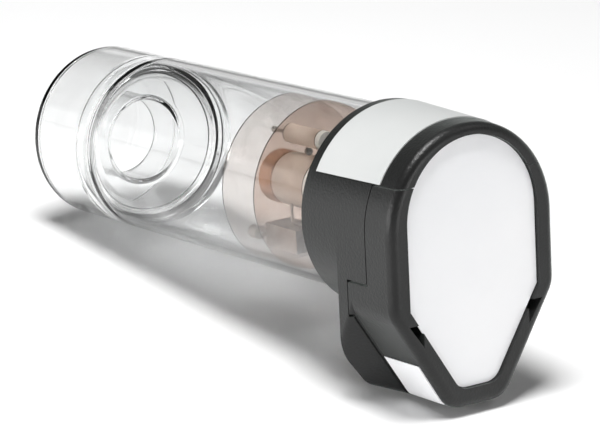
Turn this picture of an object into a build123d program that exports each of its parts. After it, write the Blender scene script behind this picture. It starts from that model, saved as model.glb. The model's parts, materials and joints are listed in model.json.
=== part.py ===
"""Hollow cathode lamp: a blown glass bulb glued into a moulded plug-in housing.

Millimetres. Every piece is built about the lamp's own axis, which is the X axis:
the housing's back plate faces +X and the window faces -X. Stations along the axis
are counted from the face of the rear label. At the end all pieces are laid down as
the lamp comes to rest, on the rim of its window and the foot of its housing.
"""

import math
import os

from build123d import *

# Glass bulb
tube_radius = 25.0
glass_wall = 1.6
window_station = -174.7
window_thickness = 2.4
rim_round = 0.8
seal_station = -143.1
seal_round = 3.0
funnel_length = 9.0
funnel_round = 2.0
nozzle_radius = 13.2
nozzle_station = -166.4
nozzle_lip_round = 0.6
bulb_end_station = -28.0
bulb_end_round = 6.0

# Glass foot that the leads pass through
foot_mouth_radius = 13.0
foot_tube_radius = 8.0
foot_depth = 13.0
foot_flare_length = 4.0
pinch_width = 19.0
pinch_thickness = 4.6
pinch_length = 9.0
exhaust_radius = 2.6
exhaust_length = 20.0
exhaust_tip_radius = 0.8
exhaust_tip_length = 3.5

# Discs and electrodes
disc_gap = 0.6
disc_thickness = 0.5
front_disc_station = -77.1
rear_disc_station = -62.3
cathode_radius = 7.3
cathode_bore = 3.0
cathode_depth = 12.0
cathode_reach = 6.6
cathode_sleeve_tail = 3.5
stub_radius = 4.2
stub_length = 10.0
lip_chamfer = 0.5
cathode_lead_radius = 1.0
anode_height = 12.4
anode_sleeve_radius = 2.6
anode_sleeve_reach = 0.6
anode_sleeve_exit = 2.0
anode_radius = 0.5
anode_reach = 7.4
anode_ball_radius = 0.9
lead_gap = 0.15
lead_offset = 4.6
lead_tail = 5.0
lead_bend = 1.5

# Bracket between the discs and the getter in front of them
bracket_width = 8.0
bracket_side = -6.0
bracket_top = -10.5
bracket_height = 6.5
bracket_sheet = 0.5
getter_radius = 1.9
getter_length = 3.4
getter_reach = 8.5
getter_height = -15.6
strap_radius = 0.45

# Eyelets that stiffen the discs
eyelet_radius = 1.0
eyelet_height = 10.2
eyelet_side = 4.7
eyelet_lip = 0.35

# Housing
collar_station = -35.0
collar_wall = 2.05
collar_taper = 1.6
housing_wall = 2.0
rim_crest = 1.2
rear_round = 2.5
bore_gap = 0.35
cement_length = 5.0
cement_bead = 1.2
seat_width = 9.0
cushion_thickness = 1.5
cushion_inset = 1.0
lobe_station = -21.0
lobe_side_drop = 32.3
lobe_foot_half = 18.3
lobe_drop = 43.3
lobe_side_round = 12.0
lobe_foot_round = 7.0
skirt_station = -15.6
side_drop = 19.8
foot_half = 8.75
foot_drop = 47.1
side_round = 8.0
foot_round = 7.0
plate_thickness = 3.0

# Parting line between the two mouldings
split_height = 12.57
seam_station = -9.4
tab_station = -17.3
tab_top = -12.5
tab_bottom = -22.3
skirt_lead = 0.6
seam_gap = 0.3
tab_gap = 0.7

# Corner notches beside the rear label
notch_inner = 16.8
notch_outer = 21.2
notch_top = -22.7
notch_bottom = -28.7

# Labels
label_thickness = 0.3
rear_label_half = 20.5
rear_label_arch_height = 2.3
rear_label_side_drop = 18.9
rear_label_foot_half = 5.9
rear_label_foot_drop = 41.8
rear_label_foot_round = 5.0
label_gap = 0.2
top_label_length = 25.4
top_label_margin = 3.2
side_label_top = -34.0
side_label_bottom = -45.4
side_label_front = -15.2

# Plug-in connector in the front face of the lobe
plug_width = 22.6
plug_height = 9.0
plug_depth = 11.0
plug_lead = 1.2
plug_wall = 1.3
plug_centre_drop = 34.0
plug_gap = 0.2
pin_count = 6
pin_pitch = 3.2
pin_side = 0.8
pin_reach = 5.8
pin_tail = 2.2
pin_row_gap = 3.0

# Circuit board and wiring
board_top = -23.5
board_bottom = -42.0
board_gap = 0.4
board_thickness = 1.6
resistor_count = 3
resistor_length = 6.0
resistor_radius = 1.1
resistor_pitch = 2.7
resistor_lead_radius = 0.3
resistor_lead_span = 9.0
wire_radius = 0.9
wire_bend = 3.0
wire_spread = 5.0

# Sizes that follow from the ones above
cup_front = window_station + window_thickness
disc_radius = tube_radius - glass_wall - disc_gap
collar_radius = tube_radius + bore_gap + collar_wall
rear_half_width = collar_radius - collar_taper
housing_span = 2 * (collar_radius + foot_drop)
glass_bore = tube_radius - glass_wall
nozzle_bore = nozzle_radius - glass_wall
plug_front = lobe_station - plug_lead
cathode_front = front_disc_station - cathode_reach
cathode_split = front_disc_station + disc_thickness / 2
stub_end = cathode_split + stub_length
cathode_tail = rear_disc_station + cathode_sleeve_tail
anode_sleeve_tail = rear_disc_station + anode_sleeve_exit
foot_flare_station = bulb_end_station - glass_wall
foot_front = foot_flare_station - foot_depth
pinch_front = foot_front - pinch_length
lead_end = bulb_end_station + lead_tail
board_station = lobe_station + plug_depth


def taper_radius(station):
    """Radius of the housing's arch, which narrows evenly from collar to rim."""
    share = (station - collar_station) / (rim_crest - collar_station)
    return collar_radius - share * collar_taper


def cylinder(radius, start, end, height=0.0, side=0.0):
    """A round bar along the lamp's axis."""
    disc = Plane.YZ.offset(start) * Pos(side, height) * Circle(radius)
    return extrude(disc, end - start)


def cone(start_radius, end_radius, start, end):
    """A round taper along the lamp's axis."""
    sections = [
        Plane.YZ.offset(start) * Circle(start_radius),
        Plane.YZ.offset(end) * Circle(end_radius),
    ]
    return loft(sections, ruled=True)


def slab(start, end, width, top, bottom, side=0.0):
    """A rectangular block between two stations."""
    middle = Pos(side, (top + bottom) / 2)
    return extrude(Plane.YZ.offset(start) * middle * Rectangle(width, top - bottom), end - start)


def turned(points):
    """A solid turned about the lamp's axis from a closed half outline."""
    face = make_face(Polyline(*points, close=True))
    return revolve(Plane.XZ * face, axis=Axis.X)


def shield(half_width, drop, foot, foot_level, corner, toe, arch_height=0.0):
    """Arch, straight sides, slanted flanks and a flat foot, drawn across the axis."""
    arch = ThreePointArc(
        (half_width, arch_height),
        (0, arch_height + half_width),
        (-half_width, arch_height),
    )
    flanks = Polyline(
        (-half_width, arch_height),
        (-half_width, -drop),
        (-foot, -foot_level),
        (foot, -foot_level),
        (half_width, -drop),
        (half_width, arch_height),
    )
    face = make_face([*arch.edges(), *flanks.edges()])
    toes = face.vertices().sort_by(Axis.Y)[:2]
    face = fillet(toes, toe)
    if corner:
        level = face.vertices().filter_by_position(Axis.Y, -drop - 0.01, -drop + 0.01)
        face = fillet(level, corner)
    return face


def lobe_section(station, inset=0.0):
    """Full, round outline of the lobe's front face."""
    face = shield(
        taper_radius(station),
        lobe_side_drop,
        lobe_foot_half,
        lobe_drop,
        lobe_side_round,
        lobe_foot_round,
    )
    return Plane.YZ.offset(station) * inset_face(face, inset)


def skirt_section(station, inset=0.0):
    """Outline of the skirt with its slanted flanks."""
    face = shield(taper_radius(station), side_drop, foot_half, foot_drop, side_round, foot_round)
    return Plane.YZ.offset(station) * inset_face(face, inset)


def inset_face(face, inset):
    """The same outline drawn smaller by a wall."""
    return offset(face, -inset) if inset else face


def housing_block():
    """Outer form of collar, lobe and skirt as one closed block."""
    collar = cone(collar_radius, rear_half_width, collar_station, rim_crest)
    lobe = loft([lobe_section(lobe_station), skirt_section(skirt_station)], ruled=True)
    skirt = loft([skirt_section(skirt_station), skirt_section(rim_crest)], ruled=True)
    rear_edges = skirt.faces().sort_by(Axis.X)[-1].edges()
    skirt = fillet(rear_edges, rear_round)
    ahead = slab(collar_station, lobe_station, housing_span, housing_span, -housing_span)
    collar = collar & ahead
    return collar + lobe + skirt


def housing_hollow():
    """Everything inside the housing's walls."""
    inside_front = lobe_station + housing_wall
    inside_rear = -label_thickness - plate_thickness
    front = lobe_section(inside_front, housing_wall)
    middle = skirt_section(skirt_station, housing_wall)
    rear = skirt_section(inside_rear, housing_wall)
    lobe = loft([front, middle], ruled=True)
    skirt = loft([middle, rear], ruled=True)
    mouth = cylinder(tube_radius + bore_gap, collar_station, bulb_end_station + cushion_thickness)
    throat = cylinder(tube_radius - seat_width, collar_station, skirt_station)
    return mouth + throat + lobe + skirt


def rear_recess():
    """Shallow pocket for the rear label."""
    face = rear_label_face(label_gap)
    return extrude(Plane.YZ.offset(-label_thickness) * face, rim_crest + label_thickness)


def rear_label_face(grow=0.0):
    """Outline of the rear label, or of the pocket round it."""
    face = shield(
        rear_label_half,
        rear_label_side_drop,
        rear_label_foot_half,
        rear_label_foot_drop,
        0,
        rear_label_foot_round,
        rear_label_arch_height,
    )
    return offset(face, grow) if grow else face


def cover_region(clear=0.0, tab_clear=0.0):
    """Side view of all that belongs to the rear cover, carried across the housing."""
    skirt_front = skirt_station - skirt_lead
    behind = rim_crest + housing_wall
    below = -foot_drop - housing_wall
    points = [
        (behind, split_height - clear),
        (seam_station + clear, split_height - clear),
        (seam_station + clear, tab_top - tab_clear),
        (tab_station + clear, tab_top - tab_clear),
        (tab_station + clear, tab_bottom + tab_clear),
        (skirt_front + clear, tab_bottom + tab_clear),
        (skirt_front + clear, below),
        (behind, below),
    ]
    face = make_face(Polyline(*points, close=True))
    return extrude(Plane.XZ * face, housing_span / 2, both=True)


def notches():
    """Two triangular openings beside the rear label's slanted edges."""
    depth = plate_thickness + label_thickness + rim_crest
    cuts = []
    for side in (-1, 1):
        corners = [
            (side * notch_inner, notch_top),
            (side * notch_outer, notch_top),
            (side * notch_inner, notch_bottom),
        ]
        face = make_face(Polyline(*corners, close=True))
        cuts.append(extrude(Plane.YZ.offset(rim_crest) * face, -depth))
    return cuts


def plug_opening():
    """Window in the lobe's front wall that the connector fills."""
    return slab(
        lobe_station - housing_wall,
        lobe_station + 2 * housing_wall,
        plug_width + 2 * plug_gap,
        -plug_centre_drop + plug_height / 2 + plug_gap,
        -plug_centre_drop - plug_height / 2 - plug_gap,
    )


def housing_shell():
    """Both mouldings together, before they are parted."""
    shell = housing_block() - housing_hollow() - rear_recess()
    for cut in notches():
        shell = shell - cut
    return shell


def front_housing(shell):
    """Collar, arch and lobe front."""
    seat_front = -label_thickness - plate_thickness
    seat_depth = rim_crest + housing_wall - seat_front
    arch_seat = extrude(Plane.YZ.offset(seat_front) * rear_label_face(label_gap), seat_depth)
    return shell - cover_region() - arch_seat - plug_opening()


def rear_cover(shell):
    """Back plate with the label's pocket, skirt, latch tabs and notches."""
    skirt = shell & cover_region(seam_gap, tab_gap)
    plate_rear = -label_thickness
    plate_front = plate_rear - plate_thickness
    plate = extrude(Plane.YZ.offset(plate_front) * rear_label_face(), plate_thickness)
    lap = split_height - seam_gap - plate_thickness
    upper = plate & slab(plate_front, plate_rear, housing_span, housing_span, lap)
    return skirt + upper


def glass_profile():
    """Section of the blown wall above the axis, as (station, radius, round) corners.

    The tube runs straight from the window to its rounded end. Inside it a funnel of
    the same wall starts at the seal and narrows to the nozzle in the window's cup.
    """
    slope = math.atan2(glass_bore - nozzle_bore, funnel_length)
    crevice_station = seal_station - glass_wall / math.sin(slope)
    root_station = crevice_station - (glass_bore - nozzle_radius) / math.tan(slope)
    return [
        (cup_front, tube_radius, 0),
        (bulb_end_station, tube_radius, bulb_end_round),
        (bulb_end_station, foot_mouth_radius, 0),
        (foot_flare_station, foot_mouth_radius, 0),
        (foot_flare_station, glass_bore, bulb_end_round - glass_wall),
        (seal_station, glass_bore, seal_round),
        (seal_station - funnel_length, nozzle_bore, funnel_round),
        (nozzle_station, nozzle_bore, nozzle_lip_round),
        (nozzle_station, nozzle_radius, nozzle_lip_round),
        (root_station, nozzle_radius, funnel_round),
        (crevice_station, glass_bore, seal_round),
        (cup_front, glass_bore, 0),
    ]


def glass_envelope():
    """Blown bulb with its re-entrant funnel, open at the window and at the foot."""
    corners = glass_profile()
    face = make_face(Polyline(*[corner[:2] for corner in corners], close=True))
    for station, radius, size in corners:
        if size:
            point = Vector(station, radius)
            face = fillet(face.vertices().sort_by_distance(point)[0], size)
    return revolve(Plane.XZ * face, axis=Axis.X)


def quartz_window():
    """Flat disc fused across the front of the cup."""
    disc = cylinder(tube_radius, window_station, cup_front)
    return fillet(disc.faces().sort_by(Axis.X)[0].edges(), rim_round)


def glass_stem():
    """Re-entrant foot: flared mouth, tube, flattened pinch and exhaust tip."""
    inside = foot_tube_radius - glass_wall
    flare = turned(
        [
            (bulb_end_station, foot_mouth_radius),
            (foot_flare_station, foot_mouth_radius),
            (foot_flare_station - foot_flare_length, foot_tube_radius),
            (foot_front, foot_tube_radius),
            (foot_front, 0),
            (foot_front + glass_wall, 0),
            (foot_front + glass_wall, inside),
            (foot_flare_station - foot_flare_length, inside),
            (bulb_end_station, foot_mouth_radius - glass_wall),
        ]
    )
    blade = RectangleRounded(pinch_thickness, pinch_width, pinch_thickness * 0.45)
    root = Plane.YZ.offset(foot_front) * Circle(foot_tube_radius)
    neck = Plane.YZ.offset(foot_front - pinch_length * 0.4) * blade
    pinch = loft([root, neck]) + extrude(neck, -pinch_length * 0.6)
    exhaust_end = foot_front + exhaust_length
    exhaust = cylinder(exhaust_radius, foot_front, exhaust_end)
    nipple = cone(exhaust_radius, exhaust_tip_radius, exhaust_end, exhaust_end + exhaust_tip_length)
    return flare + pinch + exhaust + nipple


def disc(station):
    """Spacer disc with holes for the two sleeves and the eyelets."""
    start = station - disc_thickness / 2
    end = start + disc_thickness
    plate = cylinder(disc_radius, start, end)
    plate = plate - cylinder(cathode_radius + lead_gap, start - 1, end + 1)
    plate = plate - cylinder(anode_sleeve_radius + lead_gap, start - 1, end + 1, anode_height)
    if station == rear_disc_station:
        for height, side in eyelet_places():
            plate = plate - cylinder(eyelet_radius - eyelet_lip, start - 1, end + 1, height, side)
    return plate


def eyelet_places():
    """Two eyelets in the rear disc, opposite each other across the axis."""
    return [(eyelet_height, -eyelet_side), (-eyelet_height, eyelet_side)]


def mica_eyelets():
    """Turned-over metal eyelets in the rear disc."""
    barrel = eyelet_radius - eyelet_lip
    start = rear_disc_station - disc_thickness / 2
    end = start + disc_thickness
    group = []
    for height, side in eyelet_places():
        ring = cylinder(barrel, start - eyelet_lip, end + eyelet_lip, height, side)
        for face in (start - eyelet_lip, end):
            ring = ring + cylinder(eyelet_radius, face, face + eyelet_lip, height, side)
        bore = cylinder(barrel - eyelet_lip, start - eyelet_lip, end + eyelet_lip, height, side)
        group.append(ring - bore)
    return group


def cathode_cup():
    """Metal cup with its hollow facing the window and a stub inside the sleeve."""
    body = cylinder(cathode_radius, cathode_front, cathode_split)
    rims = body.faces().sort_by(Axis.X)[0].edges()
    body = chamfer(rims, lip_chamfer)
    stub = cylinder(stub_radius, cathode_split, stub_end)
    hollow = cylinder(cathode_bore, cathode_front, cathode_front + cathode_depth)
    return body + stub - hollow


def cathode_sleeve():
    """Ceramic sleeve that shields the cathode behind the front disc."""
    body = cylinder(cathode_radius, cathode_split, cathode_tail)
    body = chamfer(body.faces().sort_by(Axis.X)[-1].edges(), lip_chamfer)
    bore = cylinder(stub_radius, cathode_split, stub_end)
    through = cylinder(cathode_lead_radius + lead_gap, cathode_split, cathode_tail)
    return body - bore - through


def bent_wire(points, radius, bend):
    """Round wire through straight runs and tangent arcs."""
    path = FilletPolyline(*points, radius=bend)
    start = Plane(origin=path @ 0, z_dir=path % 0)
    return sweep(start * Circle(radius), path=path)


def lead_path(start, height, bend_station, exit_height):
    """Straight along the axis, one step sideways, then through the pinch."""
    return [
        (start, 0, height),
        (bend_station, 0, height),
        (pinch_front - lead_bend, 0, exit_height),
        (lead_end, 0, exit_height),
    ]


def cathode_lead():
    """Conductor from the cup's stub through the pinch and out of the foot."""
    points = lead_path(stub_end, 0, cathode_tail + lead_bend, -lead_offset)
    return bent_wire(points, cathode_lead_radius, lead_bend)


def anode_rod():
    """Anode wire with its ball end, from the sleeve's mouth to behind the foot."""
    tip = front_disc_station - anode_sleeve_reach - anode_reach
    points = lead_path(tip, anode_height, anode_sleeve_tail + lead_bend, lead_offset)
    wire = bent_wire(points, anode_radius, lead_bend)
    ball = Pos(tip, 0, anode_height) * Sphere(anode_ball_radius)
    return wire + ball


def anode_sleeve():
    """Ceramic tube that shields the anode wire."""
    front = front_disc_station - anode_sleeve_reach
    body = cylinder(anode_sleeve_radius, front, anode_sleeve_tail, anode_height)
    return body - cylinder(anode_radius + lead_gap, front, anode_sleeve_tail, anode_height)


def spacer_bracket():
    """Folded sheet channel that stands between the discs, open below."""
    start = front_disc_station + disc_thickness / 2
    end = rear_disc_station - disc_thickness / 2
    bottom = bracket_top - bracket_height
    block = slab(start, end, bracket_width, bracket_top, bottom, bracket_side)
    inside = slab(
        start + bracket_sheet,
        end - bracket_sheet,
        bracket_width - 2 * bracket_sheet,
        bracket_top - bracket_sheet,
        bottom,
        bracket_side,
    )
    return block - inside


def getter_cup():
    """Small pressed cup with its open side towards the window."""
    end = front_disc_station - getter_reach
    start = end - getter_length
    cup = cylinder(getter_radius, start, end, getter_height, bracket_side)
    inner = getter_radius - bracket_sheet
    return cup - cylinder(inner, start, end - bracket_sheet, getter_height, bracket_side)


def getter_strap():
    """Wire that carries the getter from the front disc."""
    start = front_disc_station - getter_reach
    end = front_disc_station - disc_thickness / 2
    return cylinder(strap_radius, start, end, getter_height, bracket_side)


def bracket_tie():
    """Wire welded along the bracket and up to the cathode's sleeve."""
    reach = cathode_radius + lead_gap
    top = -math.sqrt(reach ** 2 - (bracket_side + strap_radius) ** 2)
    middle = (front_disc_station + rear_disc_station) / 2
    end = rear_disc_station - disc_thickness / 2
    level = bracket_top + strap_radius
    points = [(middle, bracket_side, top), (middle, bracket_side, level), (end, bracket_side, level)]
    return bent_wire(points, strap_radius, strap_radius * 2)


def cement_ring():
    """Bead of cement that holds the tube in the collar."""
    lip = collar_station - cement_bead
    return turned(
        [
            (lip, tube_radius),
            (collar_station, tube_radius + cement_bead),
            (collar_station, tube_radius + bore_gap),
            (collar_station + cement_length, tube_radius + bore_gap),
            (collar_station + cement_length, tube_radius),
        ]
    )


def tube_cushion():
    """Soft ring that the end of the bulb sits on."""
    end = bulb_end_station + cushion_thickness
    ring = cylinder(tube_radius - cushion_inset, bulb_end_station, end)
    return ring - cylinder(tube_radius - seat_width, bulb_end_station, end)


def connector_body():
    """Moulded socket with a flange behind the lobe's front wall."""
    top = -plug_centre_drop + plug_height / 2
    bottom = top - plug_height
    rear = lobe_station + plug_depth
    flange_front = lobe_station + housing_wall
    body = slab(plug_front, rear, plug_width, top, bottom)
    flange = slab(
        flange_front,
        flange_front + plug_wall,
        plug_width + 2 * plug_wall,
        top + plug_wall,
        bottom - plug_wall,
    )
    socket = slab(
        plug_front,
        rear - plug_wall,
        plug_width - 2 * plug_wall,
        top - plug_wall,
        bottom + plug_wall,
    )
    block = body + flange - socket
    for side, height in pin_places():
        block = block - slab(rear - 2 * plug_wall, rear, pin_side, *pin_edges(height), side)
    return block


def pin_places():
    """Two rows of contacts across the socket."""
    places = []
    for column in range(pin_count):
        side = (column - (pin_count - 1) / 2) * pin_pitch
        for row in (-0.5, 0.5):
            places.append((side, -plug_centre_drop + row * pin_row_gap))
    return places


def pin_edges(height):
    """Upper and lower edge of a contact."""
    return height + pin_side / 2, height - pin_side / 2


def contact_pins():
    """Square contacts from inside the socket to behind the circuit board."""
    inner = lobe_station + plug_depth - plug_wall
    start = inner - pin_reach
    end = board_station + board_thickness + pin_tail
    group = []
    for side, height in pin_places():
        pin = slab(start, end, pin_side, *pin_edges(height), side)
        tip = pin.faces().sort_by(Axis.X)[0].edges()
        group.append(chamfer(tip, pin_side / 4))
    return group


def circuit_board():
    """Board that stands behind the connector, cut to the housing's inside."""
    outline = skirt_section(board_station, housing_wall + board_gap)
    board = extrude(outline, board_thickness)
    board = board & slab(board_station, 0, housing_span, board_top, board_bottom)
    for side, height in pin_places():
        edges = pin_edges(height)
        board = board - slab(board_station, 0, pin_side, *edges, side)
    return board


def coding_resistors():
    """Resistors that tell the instrument which lamp is fitted."""
    face = board_station + board_thickness
    axis_station = face + resistor_radius + resistor_lead_radius
    group = []
    for index in range(resistor_count):
        height = board_top - resistor_radius - board_gap - index * resistor_pitch
        group.append(resistor(axis_station, height, face))
    return group


def resistor(station, height, face):
    """One axial resistor with both leads bent down to the board."""
    body = Pos(station, 0, height) * Rot(90, 0, 0) * Cylinder(resistor_radius, resistor_length)
    half = resistor_lead_span / 2
    points = [(face, -half, height), (station, -half, height), (station, half, height), (face, half, height)]
    return body + bent_wire(points, resistor_lead_radius, resistor_lead_radius * 1.5)


def board_wire(height, drop_station, side, board_height):
    """Insulated wire from a lead's end to the front of the board."""
    points = [
        (lead_end, 0, height),
        (drop_station, 0, height),
        (drop_station, side, board_height),
        (board_station, side, board_height),
    ]
    return bent_wire(points, wire_radius, wire_bend / 2)


def cathode_wire():
    return board_wire(-lead_offset, board_station - 2 * wire_bend, wire_spread, board_top - 2 * wire_radius)


def anode_wire():
    return board_wire(lead_offset, board_station - wire_bend, -wire_spread, board_top - 2 * wire_radius)


def rear_label():
    """Plate in the pocket of the back."""
    return extrude(Plane.YZ.offset(-label_thickness) * rear_label_face(), label_thickness)


def top_label():
    """Plate wrapped over the arch, above the parting line."""
    start = collar_station + top_label_margin
    end = start + top_label_length
    inner = cone(taper_radius(start), taper_radius(end), start, end)
    outer_radii = [taper_radius(station) + label_thickness for station in (start, end)]
    outer = cone(*outer_radii, start, end)
    above = slab(start, end, housing_span, housing_span, split_height + seam_gap)
    return (outer - inner) & above


def side_label():
    """Small plate on one slanted flank."""
    end = rim_crest - rear_round
    stations = (skirt_station, rim_crest)
    outer = loft([skirt_section(x, -label_thickness) for x in stations], ruled=True)
    inner = loft([skirt_section(x) for x in stations], ruled=True)
    width = collar_radius + 5
    patch = slab(side_label_front, end, width, side_label_top, side_label_bottom, -width / 2)
    return (outer - inner) & patch


def single(shape):
    """The one solid of a shape."""
    solids = shape.solids()
    if len(solids) != 1:
        raise ValueError(f"{len(solids)} solids where one is expected")
    return solids[0]


def lamp_pieces():
    """All pieces in the lamp's own frame, by name."""
    shell = housing_shell()
    leads = [cathode_lead(), anode_rod()]
    stem = glass_stem()
    for lead in leads:
        stem = stem - lead
    return {
        "glass_envelope": glass_envelope(),
        "quartz_window": quartz_window(),
        "glass_stem": stem,
        "front_mica_disc": disc(front_disc_station),
        "rear_mica_disc": disc(rear_disc_station),
        "mica_eyelets": mica_eyelets(),
        "cathode_cup": cathode_cup(),
        "cathode_sleeve": cathode_sleeve(),
        "cathode_lead": leads[0],
        "anode_rod": leads[1],
        "anode_sleeve": anode_sleeve(),
        "spacer_bracket": spacer_bracket(),
        "bracket_tie": bracket_tie(),
        "getter_cup": getter_cup(),
        "getter_strap": getter_strap(),
        "cement_ring": cement_ring(),
        "tube_cushion": tube_cushion(),
        "front_housing": front_housing(shell),
        "rear_cover": rear_cover(shell),
        "connector_body": connector_body(),
        "contact_pins": contact_pins(),
        "circuit_board": circuit_board(),
        "coding_resistors": coding_resistors(),
        "cathode_wire": cathode_wire(),
        "anode_wire": anode_wire(),
        "rear_label": rear_label(),
        "top_label": top_label(),
        "side_label": side_label(),
    }


def resting_tilt():
    """Angle in degrees at which the window's rim and the foot both touch the floor."""
    across = skirt_station - (window_station + rim_round)
    drop = foot_drop - (tube_radius - rim_round)
    slope = math.atan2(drop, across)
    return math.degrees(slope - math.asin(rim_round / math.hypot(across, drop)))


def laid_down(pieces):
    """The pieces at rest on the floor, with the origin below the middle of their box."""
    turn = Rot(0, -resting_tilt(), 0)
    turned_pieces = {}
    for name, piece in pieces.items():
        solids = [single(p) for p in piece] if isinstance(piece, list) else [single(piece)]
        turned_pieces[name] = [turn * solid for solid in solids]
    box = Compound([s for solids in turned_pieces.values() for s in solids]).bounding_box()
    shift = Pos(-(box.min.X + box.max.X) / 2, -(box.min.Y + box.max.Y) / 2, -box.min.Z)
    placed = {}
    for name, solids in turned_pieces.items():
        moved = [shift * solid for solid in solids]
        placed[name] = moved[0] if len(moved) == 1 else Compound(moved)
    return placed


def main():
    """Write one file for each piece."""
    os.makedirs("parts", exist_ok=True)
    for name, piece in laid_down(lamp_pieces()).items():
        export_step(piece, f"parts/{name}.step")


if __name__ == "__main__":
    main()
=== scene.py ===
import json
import math

import bmesh
import bpy
from mathutils import Matrix, Vector


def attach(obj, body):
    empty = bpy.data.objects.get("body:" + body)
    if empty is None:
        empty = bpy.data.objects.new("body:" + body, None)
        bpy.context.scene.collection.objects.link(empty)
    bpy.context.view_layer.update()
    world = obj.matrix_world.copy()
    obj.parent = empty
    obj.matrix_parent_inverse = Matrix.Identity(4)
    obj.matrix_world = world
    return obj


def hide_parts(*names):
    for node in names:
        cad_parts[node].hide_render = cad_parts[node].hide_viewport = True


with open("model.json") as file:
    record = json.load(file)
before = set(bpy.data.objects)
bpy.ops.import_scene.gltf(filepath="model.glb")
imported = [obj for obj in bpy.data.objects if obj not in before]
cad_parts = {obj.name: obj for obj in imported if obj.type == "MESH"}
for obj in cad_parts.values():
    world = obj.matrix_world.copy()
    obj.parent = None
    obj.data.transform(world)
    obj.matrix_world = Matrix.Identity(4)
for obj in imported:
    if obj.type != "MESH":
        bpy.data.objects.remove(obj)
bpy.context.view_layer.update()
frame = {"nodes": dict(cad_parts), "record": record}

MM = 0.001
TINY = 1e-6

# Sizes are in millimetres, in the lamp's own frame: x runs along the bulb towards
# the rear label, whose face is at x = 0, and z points to the housing's arch. The
# lamp lies tipped on the floor of the row frame.

# The bulb's wall, and the flat disc across its front.
BULB_RADIUS = 25.0
GLASS_WALL = 1.6
WINDOW_STATION = -174.7
WINDOW_THICKNESS = 2.4
RIM_ROUND = 0.8
JOINT_GAP = 0.01
JOINT_ROUND = 0.25

# The funnel and nozzle inside the bulb's front end, sealed to its wall.
SEAL_STATION = -143.1
SEAL_ROUND = 3.0
FUNNEL_LENGTH = 9.0
FUNNEL_ROUND = 2.0
NOZZLE_RADIUS = 13.2
NOZZLE_STATION = -166.4
LIP_ROUND = 0.6

# A fine bead on the tube's inner wall, ahead of the seal. Only the scene has it.
BEAD_STATION = -152.6
BEAD_HALF = 0.9
BEAD_HEIGHT = 0.7
BEAD_ROUND = 0.35

# The bulb's rear end, with the mouth where the glass foot enters.
BULB_END = -28.0
BULB_END_ROUND = 6.0
FOOT_MOUTH_RADIUS = 13.0

# The box round the slit that the moulding's hollow leaves in each slanted flank,
# how far a face there looks outward, and the wall that closes the slit.
SLIT_FRONT = -19.05
SLIT_REAR = -18.2
SLIT_NEAR = 17.5
SLIT_FAR = 24.5
SLIT_FOOT = -40.4
SLIT_TOP = -30.2
SLIT_FACING = 0.2
SKIN_THICKNESS = 0.5

# How finely turned pieces are drawn. A lead is the short straight beside a round.
LATHE_STEPS = 192
ROUND_STEPS = 8
LEAD_SHARE = 0.3
LEAD_LIMIT = 0.3

# Refraction of the glass and of the mica, and relief in metres. A relief's scale
# counts its grains over a metre.
GLASS_IOR = 1.47
MICA_IOR = 1.3
GLASS_WAVE_SCALE = 60.0
GLASS_WAVE_DEPTH = 0.0004
GRAIN_SCALE = 900.0
GRAIN_DEPTH = 0.0002
SPARK_SCALE = 1500.0
SPARK_DEPTH = 0.00025
SPARK_STRENGTH = 0.35

# Finishes whose colour wanders between two close tones, by slot.
FINISHES = {
    "ceramic_white": dict(
        dark=(0.93, 0.88, 0.8), light=(0.96, 0.93, 0.87), scale=90.0, rough=0.55, relief=0.15
    ),
    "cathode_metal": dict(
        dark=(0.85, 0.5, 0.3), light=(0.95, 0.62, 0.42), scale=120.0, rough=0.45, metal=0.35, relief=0.1
    ),
    "lead_metal": dict(
        dark=(0.4, 0.38, 0.36), light=(0.55, 0.53, 0.5), scale=200.0, rough=0.35, metal=0.9
    ),
    "getter_metal": dict(
        dark=(0.28, 0.24, 0.21), light=(0.42, 0.37, 0.33), scale=150.0, rough=0.5, metal=0.8, relief=0.2
    ),
    "cement": dict(
        dark=(0.72, 0.66, 0.58), light=(0.84, 0.79, 0.72), scale=150.0, rough=0.8, relief=0.4
    ),
    "cushion_rubber": dict(
        dark=(0.05, 0.05, 0.05), light=(0.09, 0.09, 0.09), scale=150.0, rough=0.75, relief=0.2
    ),
    "connector_plastic": dict(
        dark=(0.02, 0.02, 0.022), light=(0.03, 0.03, 0.033), scale=80.0, rough=0.4, relief=0.1
    ),
    "contact_gold": dict(
        dark=(0.7, 0.5, 0.2), light=(0.85, 0.65, 0.3), scale=300.0, rough=0.25, metal=1.0
    ),
    "board": dict(
        dark=(0.02, 0.13, 0.06), light=(0.03, 0.19, 0.09), scale=120.0, rough=0.45, relief=0.1
    ),
    "resistor_body": dict(
        dark=(0.6, 0.5, 0.36), light=(0.72, 0.62, 0.46), scale=300.0, rough=0.5
    ),
    "wire_red": dict(dark=(0.42, 0.03, 0.02), light=(0.55, 0.05, 0.04), scale=150.0, rough=0.35),
    "wire_white": dict(dark=(0.72, 0.72, 0.7), light=(0.82, 0.82, 0.8), scale=150.0, rough=0.35),
    "label_white": dict(dark=(0.86, 0.865, 0.88), light=(0.9, 0.9, 0.91), scale=25.0, rough=0.35),
    "label_grey": dict(dark=(0.53, 0.545, 0.54), light=(0.57, 0.58, 0.575), scale=30.0, rough=0.4),
}

# The floor's side in metres.
FLOOR_SIZE = 14.0

# The studio's brightness by the height of a view's direction: walls up to
# WALL_TOP, then a dim ceiling from CEILING_FOOT on.
WALL_SHADE = 0.7
WALL_TOP = 0.14
CEILING_FOOT = 0.2
CEILING_LOW_SHADE = 0.06
CEILING_HIGH_SHADE = 0.04

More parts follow.
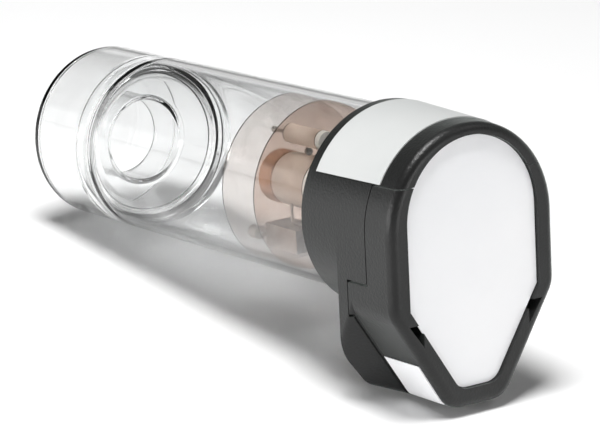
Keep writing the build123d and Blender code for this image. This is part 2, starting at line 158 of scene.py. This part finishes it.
# Area lights in the row frame: place, aim and size in metres, and power in watts.
SOFTBOXES = {
    "key": dict(
        place=(0.1, -0.2, 1.3), target=(0, 0.05, 0), width=0.45, height=0.45, power=18.5
    ),
    "front_fill": dict(
        place=(-0.2, -1.2, 0.2), target=(0, 0, 0.03), width=1.2, height=0.36, power=8.0
    ),
    "side_fill": dict(
        place=(1.15, 0.3, 0.25), target=(0.08, 0, 0.03), width=0.5, height=0.4, power=2.8
    ),
    "back_strip": dict(
        place=(0.45, 0.68, 0.95), target=(0.05, 0, 0.05), width=0.7, height=0.3, power=1.2
    ),
}

# The camera in the row frame, fitted to the photograph.
CAMERA_PLACE = Vector((652.49, -459.53, 307.80)) * MM
CAMERA_TARGET = Vector((20.493, -6.867, 31.577)) * MM
CAMERA_ROLL = math.radians(-1.877)
CAMERA_LENS = 185.16
SENSOR_WIDTH = 36.0


def lamp_frame():
    """Matrix from the lamp's own frame, in metres, to the row frame."""
    grip = next(m for m in frame["record"]["mounts"] if m["name"] == "tube_grip")
    ahead = -Vector(grip["axis"]).normalized()
    side = Vector((0, 1, 0))
    up = ahead.cross(side)
    turn = Matrix((ahead, side, up)).transposed()
    on_axis = Vector(grip["pos_m"])
    disc = frame["nodes"]["quartz_window"]
    front = min((disc.matrix_world @ v.co - on_axis).dot(ahead) for v in disc.data.vertices)
    origin = on_axis + ahead * (front - WINDOW_STATION * MM)
    return Matrix.Translation(origin) @ turn.to_4x4()


LAMP = lamp_frame()


def material(name, settings):
    """A new material with its shader's sockets set by name, its tree and shader."""
    made = bpy.data.materials.new(name)
    made.use_nodes = True
    tree = made.node_tree
    shader = tree.nodes["Principled BSDF"]
    for socket, value in settings.items():
        shader.inputs[socket].default_value = value
    return made, tree, shader


def noise(tree, scale, detail=3.0, rough=0.5):
    """Noise in the object's own coordinates, so that it rides with the piece."""
    place = tree.nodes.new("ShaderNodeTexCoord")
    made = tree.nodes.new("ShaderNodeTexNoise")
    made.inputs["Scale"].default_value = scale
    made.inputs["Detail"].default_value = detail
    made.inputs["Roughness"].default_value = rough
    tree.links.new(place.outputs["Object"], made.inputs["Vector"])
    return made.outputs["Fac"]


def ramp(tree, source, stops):
    """A colour ramp over a 0 to 1 value; stops are (position, colour)."""
    made = tree.nodes.new("ShaderNodeValToRGB")
    made.color_ramp.elements[0].position = stops[0][0]
    made.color_ramp.elements[0].color = (*stops[0][1], 1)
    made.color_ramp.elements[1].position = stops[-1][0]
    made.color_ramp.elements[1].color = (*stops[-1][1], 1)
    for position, colour in stops[1:-1]:
        added = made.color_ramp.elements.new(position)
        added.color = (*colour, 1)
    tree.links.new(source, made.inputs["Fac"])
    return made.outputs["Color"]


def tint(tree, shader, source, stops):
    """Base colour from a 0 to 1 value."""
    tree.links.new(ramp(tree, source, stops), shader.inputs["Base Color"])


def bump(tree, shader, source, strength, distance):
    """Fine relief from a height value."""
    made = tree.nodes.new("ShaderNodeBump")
    made.inputs["Strength"].default_value = strength
    made.inputs["Distance"].default_value = distance
    tree.links.new(source, made.inputs["Height"])
    tree.links.new(made.outputs["Normal"], shader.inputs["Normal"])


def mottled(name, dark, light, scale, rough, metal=0.0, relief=0.0):
    """An opaque finish whose colour wanders between two close tones."""
    made, tree, shader = material(name, {"Roughness": rough, "Metallic": metal})
    tint(tree, shader, noise(tree, scale), [(0.35, dark), (0.65, light)])
    if relief:
        bump(tree, shader, noise(tree, GRAIN_SCALE, detail=2.0), relief, GRAIN_DEPTH)
    return made


def clear_glass(name, colour, relief=0.0):
    """Clear glass that lets light through to what is inside and below."""
    settings = {
        "Base Color": (*colour, 1),
        "Roughness": 0.0,
        "IOR": GLASS_IOR,
        "Transmission Weight": 1.0,
    }
    made, tree, shader = material(name, settings)
    if relief:
        wave = noise(tree, GLASS_WAVE_SCALE, detail=1.0)
        bump(tree, shader, wave, relief, GLASS_WAVE_DEPTH)
    return made


def mica(name, dark, light):
    """Thin translucent sheet with faint flecks."""
    settings = {"Roughness": 0.06, "IOR": MICA_IOR, "Transmission Weight": 0.93}
    made, tree, shader = material(name, settings)
    flecks = noise(tree, 160.0, detail=4.0, rough=0.6)
    tint(tree, shader, flecks, [(0.35, dark), (0.7, light)])
    return made


def housing_plastic():
    """Black moulded plastic with a fine spark-eroded grain."""
    settings = {
        "Roughness": 0.36,
        "Specular IOR Level": 0.35,
        "Sheen Weight": 0.45,
        "Sheen Roughness": 0.35,
        "Sheen Tint": (0.92, 1.0, 0.96, 1),
    }
    made, tree, shader = material("housing_black", settings)
    stops = [(0.3, (0.007, 0.007, 0.007)), (0.7, (0.012, 0.012, 0.012))]
    tint(tree, shader, noise(tree, 40.0), stops)
    bump(tree, shader, noise(tree, SPARK_SCALE, detail=2.0), SPARK_STRENGTH, SPARK_DEPTH)
    return made


MATERIALS = {slot: mottled(slot, **look) for slot, look in FINISHES.items()}
MATERIALS["clear_glass"] = clear_glass("clear_glass", (0.985, 0.99, 0.99), relief=0.02)
MATERIALS["quartz"] = clear_glass("quartz", (0.99, 0.995, 0.995))
# The slot's mica stays on the rear disc: its pinker, darker tint is painted reflection of the copper
# parts and painted shade from the interior behind it.
MATERIALS["mica"] = mica("mica", (0.77, 0.62, 0.54), (0.84, 0.71, 0.64))
MATERIALS["housing_black"] = housing_plastic()


def in_scene(name, mesh, placed=None):
    """An object of its own from a finished mesh, moved by a matrix if one is given."""
    data = bpy.data.meshes.new(name)
    mesh.to_mesh(data)
    mesh.free()
    if placed is not None:
        data.transform(placed)
    made = bpy.data.objects.new(name, data)
    bpy.context.scene.collection.objects.link(made)
    return made


def lathe(name, profile, closed=True):
    """A turned piece from a (station, radius) profile in lamp millimetres."""
    mesh = bmesh.new()
    rings = []
    for station, radius in profile:
        if radius < TINY:
            rings.append([mesh.verts.new((station * MM, 0, 0))])
            continue
        ring = []
        for step in range(LATHE_STEPS):
            angle = 2 * math.pi * step / LATHE_STEPS
            across = radius * MM * math.cos(angle)
            above = radius * MM * math.sin(angle)
            ring.append(mesh.verts.new((station * MM, across, above)))
        rings.append(ring)
    pairs = list(zip(rings, rings[1:]))
    if closed:
        pairs.append((rings[-1], rings[0]))
    for first, second in pairs:
        for step in range(LATHE_STEPS):
            after = (step + 1) % LATHE_STEPS
            corners = [first[step % len(first)], first[after % len(first)]]
            corners += [second[after % len(second)], second[step % len(second)]]
            distinct = list(dict.fromkeys(corners))
            if len(distinct) > 2:
                mesh.faces.new(distinct)
    bmesh.ops.recalc_face_normals(mesh, faces=mesh.faces)
    made = in_scene(name, mesh, placed=LAMP)
    for face in made.data.polygons:
        face.use_smooth = True
    return made


def paint(piece, finish):
    """Gives a piece one material in place of what it had."""
    piece.data.materials.clear()
    piece.data.materials.append(finish)


def dress(piece, slot, *nodes):
    """Gives a piece its material, puts it on the root body and hides the nodes that it stands in for.
    """
    paint(piece, MATERIALS[slot])
    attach(piece, "root")
    if nodes:
        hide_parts(*nodes)


def dress_nodes():
    """Every CAD node gets the material of its slot."""
    for part in frame["record"]["subparts"]:
        paint(frame["nodes"][part["node"]], MATERIALS[part["material_slot"]])


def split_painted_mica_tint():
    """The front disc gets a paler mica of its own; the rear disc's pinker, darker tint is painted
    reflection of the copper parts and painted shade from the interior behind it.
    """
    sheet = mica("mica_front", (0.86, 0.8, 0.77), (0.91, 0.87, 0.84))
    paint(frame["nodes"]["front_mica_disc"], sheet)


def slit_rims(side):
    """Outer edges of the slit that the moulding's hollow leaves in one flank."""
    to_lamp = LAMP.inverted()
    moulding = bmesh.new()
    moulding.from_mesh(frame["nodes"]["front_housing"].data)
    rims = []
    for edge in moulding.edges:
        if len(edge.link_faces) != 1:
            continue
        outward = (to_lamp.to_3x3() @ edge.link_faces[0].normal).y * side
        spots = [to_lamp @ vertex.co / MM for vertex in edge.verts]
        if outward > SLIT_FACING and all(in_slit(spot, side) for spot in spots):
            rims.append([tuple(vertex.co) for vertex in edge.verts])
    moulding.free()
    return rims


def in_slit(spot, side):
    """Whether a lamp point lies round the slit of one flank."""
    across = spot.y * side
    return (
        SLIT_FRONT <= spot.x <= SLIT_REAR
        and SLIT_NEAR <= across <= SLIT_FAR
        and SLIT_FOOT <= spot.z <= SLIT_TOP
    )


def flank_skin():
    """Closes the slits in the moulding's flanks with a wall of the same plastic."""
    mesh = bmesh.new()
    for side in (-1, 1):
        for ends in slit_rims(side):
            mesh.edges.new([mesh.verts.new(end) for end in ends])
    bmesh.ops.remove_doubles(mesh, verts=mesh.verts, dist=TINY)
    bmesh.ops.triangle_fill(mesh, edges=mesh.edges, use_beauty=True)
    pulled = bmesh.ops.extrude_face_region(
        mesh, geom=mesh.faces[:] + mesh.edges[:] + mesh.verts[:], use_keep_orig=True
    )
    to_lamp = LAMP.inverted()
    for vertex in pulled["geom"]:
        if isinstance(vertex, bmesh.types.BMVert):
            side = math.copysign(1.0, (to_lamp @ vertex.co).y)
            inward = Vector((0.0, -side * SKIN_THICKNESS * MM, 0.0))
            vertex.co += LAMP.to_3x3() @ inward
    bmesh.ops.recalc_face_normals(mesh, faces=mesh.faces)
    dress(in_scene("flank_skin", mesh), "housing_black")


def rounded(corners):
    """A profile from (station, radius, round) corners; each round is an arc with
    a short straight lead at both ends, so that flat faces shade flat."""
    points = []
    for index, (station, radius, size) in enumerate(corners):
        here = Vector((station, radius))
        if size == 0:
            points.append((station, radius))
            continue
        before = Vector(corners[index - 1][:2])
        after = Vector(corners[(index + 1) % len(corners)][:2])
        back = (before - here).normalized()
        on = (after - here).normalized()
        half = math.acos(max(-1.0, min(1.0, back.dot(on)))) / 2
        reach = size / math.tan(half)
        lead = min(LEAD_LIMIT, LEAD_SHARE * size)
        centre = here + (back + on).normalized() * (size / math.sin(half))
        start = here + back * reach
        stop = here + on * reach
        points.append(tuple(start + back * lead))
        first = (start - centre).normalized()
        last = (stop - centre).normalized()
        sweep = first.angle_signed(last)
        for step in range(ROUND_STEPS + 1):
            turned = first.copy()
            turned.rotate(Matrix.Rotation(-sweep * step / ROUND_STEPS, 2))
            points.append(tuple(centre + turned * size))
        points.append(tuple(stop + on * lead))
    return points


def bulb():
    """The blown glass in one profile: straight tube, foot mouth, funnel, nozzle
    and the bead ahead of the seal."""
    inner = BULB_RADIUS - GLASS_WALL
    front = WINDOW_STATION + WINDOW_THICKNESS + JOINT_GAP
    foot = BULB_END - GLASS_WALL
    nozzle_inner = NOZZLE_RADIUS - GLASS_WALL
    slope = math.atan2(inner - nozzle_inner, FUNNEL_LENGTH)
    crevice = SEAL_STATION - GLASS_WALL / math.sin(slope)
    root = crevice - (inner - NOZZLE_RADIUS) / math.tan(slope)
    corners = [
        (front, BULB_RADIUS, JOINT_ROUND),
        (BULB_END, BULB_RADIUS, BULB_END_ROUND),
        (BULB_END, FOOT_MOUTH_RADIUS, 0),
        (foot, FOOT_MOUTH_RADIUS, 0),
        (foot, inner, BULB_END_ROUND - GLASS_WALL),
        (SEAL_STATION, inner, SEAL_ROUND),
        (SEAL_STATION - FUNNEL_LENGTH, nozzle_inner, FUNNEL_ROUND),
        (NOZZLE_STATION, nozzle_inner, LIP_ROUND),
        (NOZZLE_STATION, NOZZLE_RADIUS, LIP_ROUND),
        (root, NOZZLE_RADIUS, FUNNEL_ROUND),
        (crevice, inner, SEAL_ROUND),
        (BEAD_STATION + BEAD_HALF, inner, BEAD_ROUND),
        (BEAD_STATION, inner - BEAD_HEIGHT, BEAD_ROUND),
        (BEAD_STATION - BEAD_HALF, inner, BEAD_ROUND),
        (front, inner, JOINT_ROUND),
    ]
    dress(lathe("bulb_glass", rounded(corners)), "clear_glass", "glass_envelope")


def window():
    """The flat disc across the bulb's front."""
    rear = WINDOW_STATION + WINDOW_THICKNESS
    corners = [
        (WINDOW_STATION, 0, 0),
        (WINDOW_STATION, BULB_RADIUS, RIM_ROUND),
        (rear, BULB_RADIUS, JOINT_ROUND),
        (rear, 0, 0),
    ]
    made = lathe("window_glass", rounded(corners), closed=False)
    dress(made, "quartz", "quartz_window")


def floor():
    """A wide pale floor."""
    bpy.ops.mesh.primitive_plane_add(size=FLOOR_SIZE, location=(0, 0, 0))
    made = bpy.context.object
    made.name = "floor"
    finish, tree, shader = material("floor", {"Roughness": 0.8, "Specular IOR Level": 0.1})
    stops = [(0.3, (0.93, 0.93, 0.93)), (0.7, (0.95, 0.95, 0.95))]
    tint(tree, shader, noise(tree, 3.0), stops)
    paint(made, finish)


def softbox(name, place, target, width, height, power):
    """A rectangular area light aimed at a point."""
    data = bpy.data.lights.new(name, "AREA")
    data.shape = "RECTANGLE"
    data.size = width
    data.size_y = height
    data.energy = power
    made = bpy.data.objects.new(name, data)
    made.location = place
    made.rotation_mode = "QUATERNION"
    made.rotation_quaternion = (Vector(target) - Vector(place)).to_track_quat("-Z", "Y")
    bpy.context.scene.collection.objects.link(made)


def sky():
    """Bright walls up to a little above eye level, and a dim ceiling."""
    world = bpy.data.worlds.new("studio")
    bpy.context.scene.world = world
    world.use_nodes = True
    tree = world.node_tree
    background = tree.nodes["Background"]
    place = tree.nodes.new("ShaderNodeTexCoord")
    split = tree.nodes.new("ShaderNodeSeparateXYZ")
    tree.links.new(place.outputs["Generated"], split.inputs["Vector"])
    stops = [
        (0.0, (WALL_SHADE,) * 3),
        (WALL_TOP, (WALL_SHADE,) * 3),
        (CEILING_FOOT, (CEILING_LOW_SHADE,) * 3),
        (1.0, (CEILING_HIGH_SHADE,) * 3),
    ]
    shade = ramp(tree, split.outputs["Z"], stops)
    tree.links.new(shade, background.inputs["Color"])


def camera():
    """The photograph's viewpoint."""
    data = bpy.data.cameras.new("camera")
    data.sensor_width = SENSOR_WIDTH
    data.lens = CAMERA_LENS
    made = bpy.data.objects.new("camera", data)
    made.location = CAMERA_PLACE
    look = (CAMERA_TARGET - CAMERA_PLACE).normalized()
    turn = look.to_track_quat("-Z", "Y").to_matrix().to_4x4()
    made.rotation_mode = "QUATERNION"
    made.rotation_quaternion = (turn @ Matrix.Rotation(-CAMERA_ROLL, 4, "Z")).to_quaternion()
    bpy.context.scene.collection.objects.link(made)
    bpy.context.scene.camera = made


dress_nodes()
split_painted_mica_tint()
flank_skin()
bulb()
window()
floor()
sky()
for light, setup in SOFTBOXES.items():
    softbox(light, **setup)
camera()
bpy.context.scene.view_settings.view_transform = "Standard"
